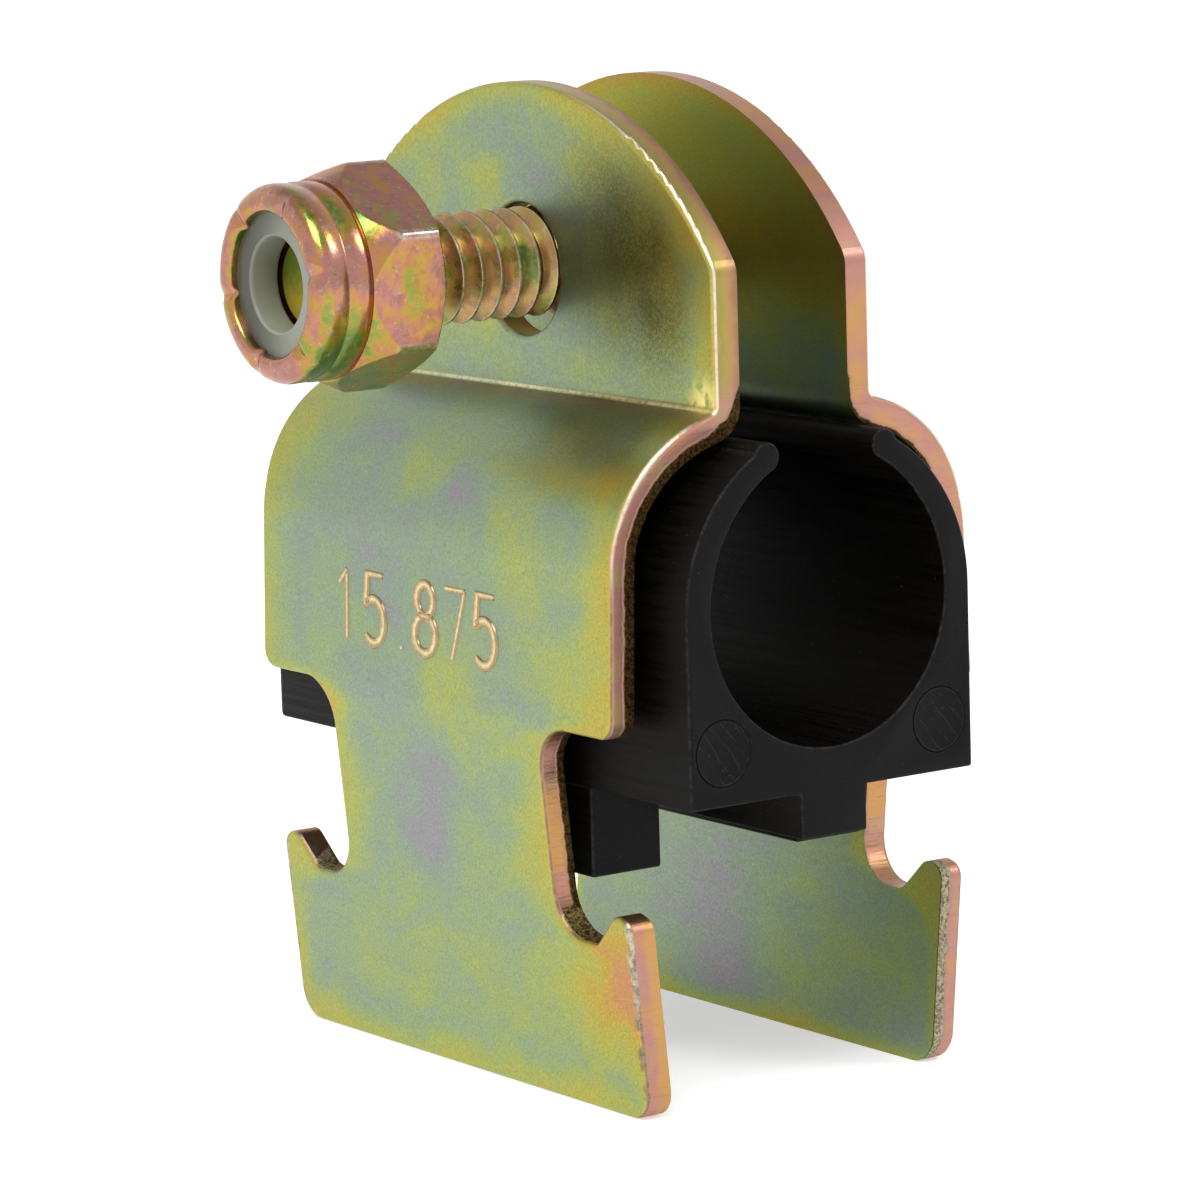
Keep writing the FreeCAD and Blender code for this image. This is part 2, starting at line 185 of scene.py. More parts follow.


# Colours of the plating by its film's thickness, and those along the cut edges and across a stamped stroke,
# whose lightest colour along the floor is a painted highlight
SHEET_COLOURS = [
    (0.0, rgb(208, 146, 98)), (0.14, rgb(202, 168, 70)), (0.3, rgb(186, 180, 84)), (0.44, rgb(170, 180, 104)),
    (0.58, rgb(154, 172, 130)), (0.72, rgb(146, 163, 146)), (0.86, rgb(154, 150, 160)),
    (1.0, rgb(160, 156, 148))]
SHEARED_COLOURS = [
    (0.32, rgb(192, 146, 96)), (0.44, rgb(188, 138, 112)), (0.54, rgb(182, 132, 122)),
    (0.68, rgb(180, 148, 112))]
EAR_EDGE_COLOURS = [
    (0.05, rgb(150, 116, 84)), (0.3, rgb(176, 138, 96)), (0.55, rgb(166, 152, 76)), (0.8, rgb(150, 148, 70)),
    (1.0, rgb(176, 150, 108))]
STROKE_COLOURS_WITH_HIGHLIGHT = [
    (0.0, rgb(232, 222, 182)), (0.3, rgb(208, 188, 138)), (0.55, rgb(184, 154, 108)),
    (0.8, rgb(168, 134, 104)), (1.0, rgb(158, 150, 112))]
NUT_COLOURS = [
    (0.1, rgb(108, 130, 70)), (0.24, rgb(138, 148, 74)), (0.34, rgb(172, 148, 70)), (0.43, rgb(186, 134, 82)),
    (0.52, rgb(182, 128, 106)), (0.62, rgb(168, 118, 114)), (0.72, rgb(168, 138, 90)),
    (0.84, rgb(138, 148, 90))]
BOLT_COLOURS = [
    (0.28, rgb(124, 138, 82)), (0.4, rgb(158, 152, 84)), (0.5, rgb(176, 150, 90)), (0.6, rgb(184, 134, 104)),
    (0.72, rgb(140, 142, 88))]
BOLT_END_BELOW = rgb(196, 178, 66)
BOLT_END_ABOVE = rgb(118, 134, 50)


class Shader:
    """The node tree of a material or a world, with one short call for each node."""

    def __init__(self, owner):
        owner.use_nodes = True
        self.owner = owner
        self.tree = owner.node_tree
        self.tree.nodes.clear()
        self.object_mm = None

    def node(self, kind, *inputs, **settings):
        made = self.tree.nodes.new("ShaderNode" + kind)
        named = settings.pop("named", {})
        for key, value in settings.items():
            setattr(made, key, value)
        for key, value in list(enumerate(inputs)) + list(named.items()):
            if value is None:
                continue
            if isinstance(value, bpy.types.NodeSocket):
                self.tree.links.new(value, made.inputs[key])
            else:
                made.inputs[key].default_value = value
        return made

    def math(self, operation, *values, clamp=False):
        return self.node("Math", *values, operation=operation, use_clamp=clamp).outputs[0]

    def product(self, *values):
        total = values[0]
        for value in values[1:]:
            total = self.math("MULTIPLY", total, value)
        return total

    def add(self, value, share, total, clamp=False):
        """A total with a share of a value added to it."""
        return self.math("MULTIPLY_ADD", value, share, total, clamp=clamp)

    def apart(self, first, second):
        return self.math("ABSOLUTE", self.math("SUBTRACT", first, second))

    def opposite(self, share):
        return self.math("SUBTRACT", 1.0, share)

    def place(self):
        """The object's own coordinates, in millimetres."""
        if self.object_mm is None:
            coordinates = self.node("TexCoord").outputs["Object"]
            scaled = self.node("VectorMath", coordinates, operation="SCALE", named={"Scale": 1 / MM})
            self.object_mm = scaled.outputs[0]
        return self.object_mm

    def facing(self):
        """Which way the surface faces."""
        return self.node("TexCoord").outputs["Normal"]

    def attribute(self, name):
        return self.node("Attribute", attribute_name=name).outputs["Fac"]

    def axes(self, vector=None):
        return self.node("SeparateXYZ", vector or self.place()).outputs

    def gap(self, centre):
        """How far the surface is from a place, in millimetres."""
        return self.node("VectorMath", self.place(), centre, operation="DISTANCE").outputs["Value"]

    def spot(self, centre, reach):
        """One at a place on the object, falling to nothing at some millimetres from it."""
        return self.step(self.gap(centre), reach, 0.0)

    def noise(self, size, detail=2.0, roughness=0.5, distortion=0.0, stretch=None):
        """Noise whose features are about so many millimetres across."""
        vector = self.place()
        if stretch:
            vector = self.node("VectorMath", vector, stretch, operation="MULTIPLY").outputs[0]
        made = self.node("TexNoise", vector, named={
            "Scale": 1 / size, "Detail": detail, "Roughness": roughness, "Distortion": distortion})
        return made.outputs["Fac"]

    def wander(self, *settings, **stretch):
        """The same noise, going to either side of nought."""
        return self.math("SUBTRACT", self.noise(*settings, **stretch), 0.5)

    def ramp(self, value, stops):
        made = self.node("ValToRGB", value)
        band = made.color_ramp
        while len(band.elements) < len(stops):
            band.elements.new(0.5)
        for element, (position, colour) in zip(band.elements, stops):
            element.position = position
            element.color = colour
        return made.outputs[0]

    def step(self, value, low, high, start=0.0, end=1.0):
        """A smooth change from start to end as the value goes from low to high."""
        made = self.node("MapRange", value, low, high, start, end, interpolation_type="SMOOTHSTEP")
        return made.outputs[0]

    def mix(self, factor, first, second):
        return self.node("Mix", data_type="RGBA", named={0: factor, 6: first, 7: second}).outputs[2]

    def bump(self, height, strength, distance, normal=None):
        return self.node("Bump", strength, distance * MM, None, height, named={"Normal": normal}).outputs[0]

    def surface(self, linked, **plain):
        """The closing Principled shader, with its linked inputs and its plain numbers."""
        made = self.node("BsdfPrincipled", named={**plain_sockets(plain), **linked})
        self.node("OutputMaterial", made.outputs[0])
        return self.owner


def plain_sockets(plain):
    """Keyword names such as coat_weight as the shader's own socket names."""
    return {name.replace("_", " ").title().replace("Ior", "IOR"): value for name, value in plain.items()}


def new_look(name):
    return Shader(bpy.data.materials.new(name))


def from_axis(s, y, height):
    """How far a point is from an axis along X, from its place to the side and its height over the axis."""
    return s.math("SQRT", s.math("ADD", s.product(y, y), s.product(height, height)))


def edge_distance(s, y, z):
    """How far a point of a half's outline lies inside its nearest edge, in millimetres."""
    aside = s.math("ABSOLUTE", y)
    away = from_axis(s, y, s.math("SUBTRACT", z, CROWN_CENTRE))
    from_side = s.math("SUBTRACT", EDGE_HALF_WIDTH, aside)
    upper = s.math("MINIMUM", from_side, s.math("SUBTRACT", CROWN_RADIUS, away))
    neck = s.math("SUBTRACT", NECK_HALF_WIDTH, aside)
    foot = s.math("MINIMUM", from_side, s.math("SUBTRACT", z, FOOT_BOTTOM))
    above_pocket = s.step(z, POCKET_BOTTOM - OUTLINE_BLEND, POCKET_BOTTOM + OUTLINE_BLEND)
    above_notch = s.step(z, NOTCH_TOP - OUTLINE_BLEND, NOTCH_TOP + OUTLINE_BLEND)
    low = s.node("Mix", above_pocket, named={2: foot, 3: neck}).outputs[0]
    return s.node("Mix", above_notch, named={2: low, 3: upper}).outputs[0]


class SheetZones:
    """Where a point is on the bent halves.

    Its coordinates and its distance inside the outline are in millimetres, and each zone is a share from
    nought to one.
    """

    def __init__(self, s):
        self.x, self.y, self.z = s.axes()
        self.aside = s.math("ABSOLUTE", self.y)
        self.inside = edge_distance(s, self.y, self.z)
        self.near = s.step(self.x, 0.5, -0.5)
        self.far_ear = s.product(s.step(self.x, -0.5, 0.5), s.step(self.z, 12.0, 17.0))
        self.below_ear = s.step(self.z, 12.5, 10.5, 0.1, 1.0)
        self.notch = s.step(self.aside, 15.2, 14.4)
        self.neck = s.product(s.step(self.z, -9.6, -10.6), s.step(self.z, -15.6, -14.2))
        self.foot_side = s.product(s.step(self.z, -12.5, -14.5), s.step(self.aside, 14.2, 15.2))
        self.foot_near = s.product(self.foot_side, self.near)
        normal = s.axes(s.facing())
        self.square = s.math("ABSOLUTE", normal[0])
        self.cut = s.step(self.square, 0.42, 0.2)
        self.beside = s.step(s.math("ABSOLUTE", normal[1]), 0.1, 0.4)
        self.pocket = s.product(s.step(normal[2], 0.35, 0.6), s.step(self.z, -12.0, -14.0), self.near,
                                s.opposite(self.foot_side))
        self.outward = s.attribute("outward")


def film_colour(s, zone):
    """Colour of the chromate, thinner towards the outline, in wide fields, clouds and spots."""
    fields = s.wander(11.0, 2.0, 0.5, 0.5, stretch=(1.0, 0.6, 1.0))
    clouds = s.wander(3.6, 6.0, 0.68, 0.4, stretch=(1.0, 0.7, 1.0))
    margin = s.product(s.step(zone.z, 10.0, 13.0, 4.2, 2.2), s.step(zone.x, -0.5, 0.5, 1.0, 0.55),
                       s.step(zone.z, -23.0, -19.0, 0.6, 1.0))
    film = s.add(s.step(s.math("DIVIDE", zone.inside, margin), 0.0, 1.0), 0.29, 0.35)
    film = s.add(fields, 0.6, film)
    film = s.add(clouds, 0.72, film)
    for centre, reach, change in FILM_SPOTS:
        film = s.add(s.spot(centre, reach), change, film)
    film = s.add(zone.far_ear, -0.3, film, clamp=True)
    return s.mix(s.product(zone.far_ear, 0.5), s.ramp(film, SHEET_COLOURS), rgb(158, 152, 34))


def painted_dark_reflections(s, zone, skin, grain):
    """Painted shade: dark reflections painted on the near ear and on the shoulder below it, broken up by the
    grain.
    """
    on_ear = s.math("MAXIMUM", s.spot((EAR_FACE, -11.2, 19.0), 9.5), s.spot((EAR_FACE, -12.5, 15.5), 5.5))
    on_ear = s.product(on_ear, s.step(zone.z, 10.3, 11.5))
    on_ledge = s.math("MAXIMUM", s.product(s.spot((-9.2, -14.0, 9.0), 7.5), 0.62),
                      s.product(s.spot((-7.5, -8.0, 10.1), 6.5), 0.3))
    on_ledge = s.product(on_ledge, s.step(zone.z, 6.8, 8.4), s.step(zone.z, 10.9, 10.3))
    mottle = s.step(s.add(s.noise(2.4, 3.0, 0.6), 0.5, grain), 0.5, 0.95, 0.55, 1.55)
    # Painted shade: dark reflections painted into the colour of the near ear and shoulder.
    painted_shade = s.product(s.math("MAXIMUM", on_ear, on_ledge), zone.near, s.step(zone.inside, 0.3, 3.0), mottle)
    return s.mix(s.math("MULTIPLY", painted_shade, 0.64, clamp=True), skin, rgb(94, 94, 48))


def painted_crease_glints(s, zone, skin):
    """Painted highlights: a bright line where the near ear turns into the shoulder, and a glint on the pulled
    corner at its end.
    """
    # Painted highlight along the crease.
    line = s.product(s.step(s.apart(zone.z, CREASE_HEIGHT), 0.14, 0.04), zone.near,
                     s.step(s.noise(0.5, 3.0, 0.7), 0.35, 0.6, 0.4, 1.0), s.step(zone.y, 8.0, -8.0, 0.6, 1.0))
    skin = s.mix(line, skin, rgb(255, 236, 184))
    # Painted glint on the pulled corner at the crease's end.
    corner = s.spot((EAR_FACE, -16.9, CREASE_HEIGHT + 0.5), 1.9)
    return s.mix(s.product(corner, s.step(s.noise(0.6, 3.0), 0.3, 0.5)), skin, rgb(252, 234, 150))


def rubbed_skin(s, zone, skin):
    """Gold where the punch rolled the skin over, the burred edge beside it (near white high up, a painted
    highlight), and the scrape along the near feet.
    """
    rolled = s.product(s.step(zone.square, 0.99, 0.8), zone.beside, 0.45)
    skin = s.mix(rolled, skin, rgb(206, 160, 96))
    burr_and_highlight = s.product(s.step(zone.square, 0.8, 0.6), zone.beside,
                     s.step(s.noise(0.5, 3.0, 0.6), 0.35, 0.55, 0.65, 1.0), 0.85)
    # Burred edge: dark grey low down, near white higher up as a painted highlight on the shoulder's rolled
    # edge.
    skin = s.mix(burr_and_highlight, skin, s.mix(s.step(zone.z, 0.0, 4.5), rgb(126, 108, 98), rgb(232, 222, 206)))
    wavy = s.add(s.wander(0.7, 3.0), 1.2, zone.aside)
    scrape = s.product(zone.foot_near, s.step(wavy, s.step(zone.z, -22.0, -16.0, 17.0, 16.6), 17.2), 0.85)
    bare = s.mix(s.step(zone.z, -24.0, -18.5), rgb(156, 136, 104), rgb(200, 194, 178))
    chipped = s.step(s.noise(0.4, 5.0, 0.75), 0.36, 0.6)
    return s.mix(scrape, skin, s.mix(chipped, rgb(112, 104, 84), bare))


def ragged_depth(s, zone):
    """Place through the sheet, uneven along the cut, which is sheared smooth outside and torn inside."""
    far_cut = s.math("SUBTRACT", s.opposite(zone.near), zone.foot_side, clamp=True)
    smoother = s.math("MAXIMUM", far_cut, s.step(zone.z, 10.0, 12.5, 0.0, 1.6))
    smoother = s.math("MAXIMUM", smoother, s.product(zone.foot_near, 2.0))
    depth = s.add(s.wander(0.8, 4.0, 0.6), 0.22, zone.outward)
    depth = s.add(zone.notch, 0.12, s.add(smoother, 0.3, depth))
    return s.add(zone.pocket, -0.6, depth)


def sheared_colour(s, zone, drawn):
    """The smooth part of a cut: pink and gold, banded on the near ear, with fine lines in the notches."""
    colour = s.ramp(s.noise(3.4, 3.0, 0.55, 0.4), SHEARED_COLOURS)
    colour = s.mix(s.product(zone.notch, zone.neck, 0.75), colour, rgb(198, 146, 84))
    bands = s.ramp(s.add(s.wander(1.1, 4.0, 0.6), 0.7, zone.outward), EAR_EDGE_COLOURS)
    colour = s.mix(s.product(zone.near, s.step(zone.z, 10.5, 12.5), 0.85), colour, bands)
    colour = s.mix(s.product(zone.foot_near, s.step(zone.outward, 0.6, 0.25), 0.8), colour, rgb(196, 152, 88))
    lined = s.product(s.add(zone.notch, s.add(zone.neck, -0.4, 0.5), 0.12), zone.below_ear)
    return s.mix(s.product(s.step(drawn, 0.5, 0.7), lined), colour, rgb(108, 92, 64))


def torn_colour(s, zone):
    """The rough part of a cut: dark with bright specks, lighter in the near pockets, scuffed on the feet."""
    speckle = s.step(s.noise(0.18, 4.0, 0.75), 0.36, 0.64)
    dark = s.mix(speckle, rgb(30, 23, 12), s.mix(zone.pocket, rgb(92, 70, 38), rgb(172, 152, 96)))
    scuffed = s.mix(speckle, rgb(112, 104, 78), rgb(186, 178, 152))
    scuffed = s.mix(s.step(zone.outward, 0.06, 0.02), scuffed, rgb(52, 44, 28))
    return s.mix(zone.foot_side, dark, scuffed)


def plated_sheet():
    """Yellow chromate on zinc: green and yellow fields, violet clouds, and punched edges in pink and gold."""
    s = new_look("plated_sheet_look")
    zone = SheetZones(s)
    grain = s.noise(0.13, 2.0, 0.7)
    skin = s.mix(s.step(grain, 0.34, 0.66, 0.0, 0.36), film_colour(s, zone), rgb(118, 124, 78))
    skin = painted_dark_reflections(s, zone, skin, grain)
    skin = painted_crease_glints(s, zone, skin)
    skin = rubbed_skin(s, zone, skin)

    drawn = s.noise(0.14, 3.0, 0.6, stretch=(0.08, 1.0, 1.0))
    depth = ragged_depth(s, zone)
    torn = s.step(depth, 0.44, 0.36)
    edge = s.mix(torn, sheared_colour(s, zone, drawn), torn_colour(s, zone))
    edge = s.mix(s.step(s.apart(depth, 0.47), 0.09, 0.0, 0.0, 0.3), edge, rgb(140, 124, 120))
    # Painted highlight: a pale sliver on the near half's left hook.
    hook_glint = s.product(s.spot((-11.7, 14.4, -17.6), 2.2), s.step(s.noise(0.5, 4.0, 0.7), 0.42, 0.56), 0.9)
    edge = s.mix(hook_glint, edge, rgb(206, 198, 178))

    rough = s.math("ADD", s.step(grain, 0.2, 0.8, 0.34, 0.46), s.product(zone.cut, torn, 0.25))
    relief = s.bump(s.noise(0.16, 4.0, 0.7), 0.45, 0.02)
    relief = s.bump(s.product(drawn, zone.cut, zone.below_ear), 0.4, 0.04, relief)
    tearing = s.noise(0.35, 4.0, 0.7, stretch=(1.0, 0.5, 0.5))
    relief = s.bump(s.product(tearing, zone.cut, s.step(depth, 0.5, 0.3)), 0.8, 0.1, relief)
    colour = s.mix(zone.cut, skin, edge)
    return s.surface({"Base Color": colour, "Roughness": rough, "Normal": relief}, metallic=1.0)


def struck_number_with_highlight():
    """The stamped strokes: a painted highlight along their floor, gold on the flanks, pink on the pushed up
    lips.
    """
    s = new_look("struck_number_look")
    across = s.add(s.wander(0.3, 4.0, 0.75), 1.1, s.attribute("across"))
    # The lightest colour, along each stroke's floor, is a painted highlight.
    colour = s.ramp(across, STROKE_COLOURS_WITH_HIGHLIGHT)
    relief = s.bump(s.noise(0.16, 4.0, 0.7), 0.3, 0.02)
    return s.surface({"Base Color": colour, "Normal": relief}, metallic=1.0, roughness=0.3)


def plated_fastener(name, colours, axis_height, rubbed_and_glint_from, patch, roughness, tints=(), end_at=None):
    """Glossy yellow chromate, in patches and flecks of its colours.

    Its corners or crests are painted paler from some distance to the axis outwards, partly worn metal and
    partly a painted highlight. Faces listed in tints by their direction have another film, and the end of a
    bolt is green above and gold below.
    """
    s = new_look(name)
    flecks = s.noise(patch * 0.28, 4.0, 0.65, 0.5)
    film = s.add(s.wander(patch, 2.0, 0.55, 0.5), 1.1, 0.5)
    film = s.add(s.math("SUBTRACT", flecks, 0.5), 0.6, film)
    film = s.add(s.wander(0.22, 2.0, 0.6, stretch=(0.12, 1.0, 1.0)), 0.2, film)
    for direction, low, high, change in tints:
        squarely = s.node("VectorMath", s.facing(), direction, operation="DOT_PRODUCT").outputs["Value"]
        film = s.add(s.step(squarely, low, high), change, film)
    colour = s.ramp(film, colours)
    scuffs = s.product(s.step(s.noise(0.3, 3.0, 0.6), 0.58, 0.66), s.step(flecks, 0.45, 0.6), 0.6)
    colour = s.mix(scuffs, colour, rgb(176, 186, 160))
    dirt = s.step(s.noise(0.35, 4.0, 0.7), 0.6, 0.72, 0.0, 0.4)
    colour = s.mix(dirt, colour, rgb(74, 66, 40))

    x, y, z = s.axes()
    away = from_axis(s, y, s.math("SUBTRACT", z, axis_height))
    # Corners and crests painted paler: partly worn metal, partly a painted highlight.
    rubbed_and_glint = s.product(s.step(away, rubbed_and_glint_from, rubbed_and_glint_from + 0.12),
                       s.step(away, rubbed_and_glint_from + 0.6, rubbed_and_glint_from + 0.4),
                       s.step(s.noise(0.35, 4.0, 0.7), 0.4, 0.6, 0.2, 0.9))
    colour = s.mix(rubbed_and_glint, colour, rgb(196, 184, 168))
    rough = s.step(flecks, 0.3, 0.7, roughness, roughness + 0.16)
    if end_at is not None:
        end = s.step(x, end_at + BOLT_POINT, end_at + BOLT_POINT - 0.1)
        wavy = s.add(s.wander(0.5, 3.0, 0.6), 1.6, z)
        plain = s.mix(s.step(wavy, axis_height - 1.6, axis_height + 0.8), BOLT_END_BELOW, BOLT_END_ABOVE)
        colour = s.mix(s.product(end, 0.95), colour, plain)
        rough = s.add(end, 0.4, rough)
    relief = s.bump(s.noise(0.6, 3.0, 0.5), 0.22, 0.05)
    return s.surface({"Base Color": colour, "Roughness": rough, "Normal": relief}, metallic=1.0)


def moulded_rubber(end_face):
    """Matte black moulding: grain, draw lines along the tube, sides darker as painted shade, pale edges as a
    painted highlight, and hatched pin marks.
    """
    s = new_look("cushion_look")
    x, y, z = s.axes()
    grain = s.noise(0.12, 3.0, 0.7)
    lines = s.noise(0.24, 3.0, 0.6, stretch=(1.0, 0.02, 1.0))
    endwise = s.math("ABSOLUTE", s.axes(s.facing())[1])
    side = s.step(endwise, 0.6, 0.3)
    end_colour = s.mix(s.step(grain, 0.35, 0.7), rgb(8, 7, 8), rgb(21, 20, 21))
    # Painted shade: the sides and the bore are darker and browner than the end face.
    shaded_side_colour = s.mix(s.step(lines, 0.45, 0.65), rgb(7, 5, 3), rgb(2, 1, 1))
    colour = s.mix(side, end_colour, shaded_side_colour)
    # Painted highlight: pale roundings along the edges, partly wear, mostly where the edges catch the light.
    rubbed_and_glint = s.product(s.step(endwise, 0.12, 0.3), s.step(endwise, 0.97, 0.85),
                       s.step(s.noise(0.4, 4.0, 0.7), 0.4, 0.62, 0.15, 1.0), 0.7)
    colour = s.mix(rubbed_and_glint, colour, rgb(52, 50, 48))
    dust = s.step(s.noise(0.16, 1.0), 0.76, 0.79, 0.0, 0.5)
    colour = s.mix(dust, colour, rgb(84, 82, 80))
    relief = s.bump(grain, 0.35, 0.03)
    relief = s.bump(s.product(lines, side), 0.35, 0.06, relief)

    slanted = s.add(z, 0.75, s.add(s.noise(1.6, 2.0), 0.9, x))
    hatch = s.math("SINE", s.product(slanted, 2 * math.pi / HATCH_SPACING))
    on_face = s.step(y, end_face + 0.6, end_face + 0.3)
    for mark_x, mark_z in PIN_MARKS:
        gap = s.gap((mark_x, end_face, mark_z))
        within = s.product(s.step(gap, PIN_MARK_RADIUS, PIN_MARK_RADIUS - 0.1), on_face)
        cut = s.product(s.step(hatch, 0.82, 0.99), within, s.step(s.noise(0.7, 3.0), 0.38, 0.56))
        relief = s.bump(cut, 0.5, 0.05, relief)
        colour = s.mix(s.product(cut, 0.7), colour, rgb(38, 37, 38))
        rim = s.product(s.step(s.apart(gap, PIN_MARK_RADIUS), 0.09, 0.03), on_face)
        relief = s.bump(rim, -0.8, 0.08, relief)
        colour = s.mix(rim, colour, rgb(1, 1, 1))
    rough = s.step(grain, 0.3, 0.7, 0.48, 0.6)
    rough = s.add(s.product(side, s.step(lines, 0.4, 0.62)), -0.1, rough)
    return s.surface({"Base Color": colour, "Roughness": rough, "Normal": relief}, specular_ior_level=0.12)


def nylon():
    """Natural nylon, slightly see-through, with painted shade: its front darker than its bore, and darker
    to one side, as if shaded by the collar's lip.
    """
    s = new_look("nylon_look")
    y = s.axes()[1]
    colour = s.mix(s.noise(1.6, 2.0), rgb(178, 180, 166), rgb(160, 164, 148))
    # Painted shade: darker towards one side.
    colour = s.mix(s.step(y, -0.5, 4.0, 0.0, 0.6), colour, rgb(92, 92, 80))
    front = s.step(s.axes(s.facing())[0], -0.8, -0.95)
    # Painted shade on the front face, under the collar's lip.
    colour = s.mix(s.product(front, s.step(y, -3.0, 2.5, 0.1, 0.9)), colour, rgb(72, 74, 62))
    relief = s.bump(s.noise(0.4, 3.0), 0.15, 0.03)
    return s.surface({"Base Color": colour, "Normal": relief}, roughness=0.38, subsurface_weight=0.2,
                     subsurface_radius=NYLON_SCATTER_METRES)


def add_object(name, mesh):
    made = bpy.data.objects.new(name, mesh)
    bpy.context.scene.collection.objects.link(made)
    return made


def shade_smooth(mesh, sharp_from):
    mesh.polygons.foreach_set("use_smooth", [True] * len(mesh.polygons))
    mesh.set_sharp_from_angle(angle=math.radians(sharp_from))


def new_piece(name, vertices, faces, material, body, slot, weld=False):
    """A piece of the clamp from points in millimetres, its closed shells facing outward."""
    mesh = bpy.data.meshes.new(name)
    mesh.from_pydata([tuple(c * MM for c in v) for v in vertices], [], faces)
    shell = bmesh.new()
    shell.from_mesh(mesh)
    if weld:
        bmesh.ops.remove_doubles(shell, verts=shell.verts, dist=WELD_DISTANCE * MM)
        bmesh.ops.dissolve_degenerate(shell, edges=shell.edges, dist=WELD_DISTANCE * MM)
        bmesh.ops.holes_fill(shell, edges=[e for e in shell.edges if e.is_boundary], sides=0)
    bmesh.ops.recalc_face_normals(shell, faces=shell.faces)
    shell.to_mesh(mesh)
    shell.free()
    shade_smooth(mesh, SHARP_FROM)
    mesh.materials.append(material)
    piece = add_object(name, mesh)
    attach(piece, body)
    return piece


def turned(stations, axis_height, turn=0.0, steps=TURN_STEPS):
    """Vertices and faces round an axis along X, from stations that give (x, radius) at an angle."""
    vertices = []
    for station in stations:
        for i in range(steps):
            angle = 2 * math.pi * i / steps
            x, radius = station(angle)
            angle += math.radians(turn)
            vertices.append((x, radius * math.cos(angle), axis_height + radius * math.sin(angle)))
    faces = []
    rings = len(stations)
    for k in range(rings):
        near = k * steps
        far = (k + 1) % rings * steps
        for i in range(steps):
            j = (i + 1) % steps
            faces.append((near + i, near + j, far + j, far + i))
    return vertices, faces


def round_station(x, radius):
    return lambda angle: (x, radius)


def hex_radius(angle, apothem):
    """Radius of a hexagon with flats facing Y and slightly rounded corners."""
    sixth = math.pi / 6
    offset = abs((angle + sixth) % (2 * sixth) - sixth)
    centre = (apothem - HEX_CORNER_ROUND) / math.cos(sixth)
    from_corner = sixth - offset
    if from_corner > math.atan2(HEX_CORNER_ROUND / 2, centre + HEX_CORNER_ROUND * math.cos(sixth)):
        return apothem / math.cos(offset)
    aside = centre * math.sin(from_corner)
    return centre * math.cos(from_corner) + math.sqrt(HEX_CORNER_ROUND ** 2 - aside ** 2)


def hex_station(x, flats, largest):
    """A hexagon's outline, cut back to a largest radius."""
    return lambda angle: (x, min(hex_radius(angle, flats / 2), largest))


def hex_end(end, inward, flats, chamfer):
    """Stations from a hexagon's end inward, coned off at an angle to the end face, or plain at nought."""
    apothem = flats / 2
    deep = flats / math.sqrt(3) - apothem
    stations = []
    for k in range(CHAMFER_STEPS + 1):
        share = k / CHAMFER_STEPS
        x = end + inward * share * deep * math.tan(math.radians(chamfer))
        stations.append(hex_station(x, flats, apothem + share * deep if chamfer else flats))
    return stations


def chamfered_hex(start, end, flats, start_chamfer, end_chamfer):
    """Stations of a hexagon from one end to the other."""
    return hex_end(start, 1, flats, start_chamfer) + hex_end(end, -1, flats, end_chamfer)[::-1]


def threaded_rod(tip, seat, axis_height):
    """A screwed rod, coned at its tip.

    Its rings of vertices follow the helix, and lie flat where they would run past an end, to be welded there.
    """
    wide = len(THREAD_PROFILE)
    length = (math.ceil((seat - tip) / THREAD_PITCH) + 1) * TURN_STEPS
    vertices = []
    for i in range(length + 1):
        angle = 2 * math.pi * i / TURN_STEPS
        for share, drop in THREAD_PROFILE:
            x = min(max(tip + (i / TURN_STEPS - 1 + share) * THREAD_PITCH, tip), seat)
            radius = min(BOLT_RADIUS - THREAD_DEPTH * drop, BOLT_RADIUS - BOLT_POINT + x - tip)
            if x == seat:
                radius = BOLT_RADIUS - THREAD_DEPTH
            vertices.append((x, radius * math.cos(angle), axis_height + radius * math.sin(angle)))
    faces = []
    for i in range(length):
        for k in range(wide):
            along = i * wide + k
            across = along + 1 if k + 1 < wide else (i + TURN_STEPS) * wide
            if across + wide < len(vertices):
                faces.append((along, along + wide, across + wide, across))
    return vertices, faces


def threaded_bolt(tip, seat, axis_height):
    """Bolt with its thread as a helix in the surface, its coned tip, and a plain hexagon head."""
    vertices, faces = threaded_rod(tip, seat + THREAD_INTO_HEAD, axis_height)
    top = seat + HEAD_HEIGHT
    head = [round_station(seat, 0.0)] + chamfered_hex(seat, top, HEAD_FLATS, 0.0, CORNER_CHAMFER)
    head += [round_station(top, HEAD_FLATS / 2 * HEAD_FACE_SHARE), round_station(top, 0.0)]
    head_vertices, head_faces = turned(head, axis_height)
    faces += [tuple(i + len(vertices) for i in face) for face in head_faces]
    return vertices + head_vertices, faces


def crimp(angle):
    """How deeply the tool has pressed the collar's lip at an angle, from nothing to one."""
    spacing = 2 * math.pi / CRIMP_COUNT
    offset = (angle - math.radians(CRIMP_TURN) + spacing / 2) % spacing - spacing / 2
    return math.exp(-(offset / math.radians(CRIMP_WIDTH)) ** 2)


def collar_station(x, radius, pressed):
    """A ring of the collar's lip, dented at the crimps by a share of their depth."""
    def at(angle):
        depth = CRIMP_DEPTH * pressed * crimp(angle)
        return x + depth, radius - CRIMP_INWARD * depth
    return at


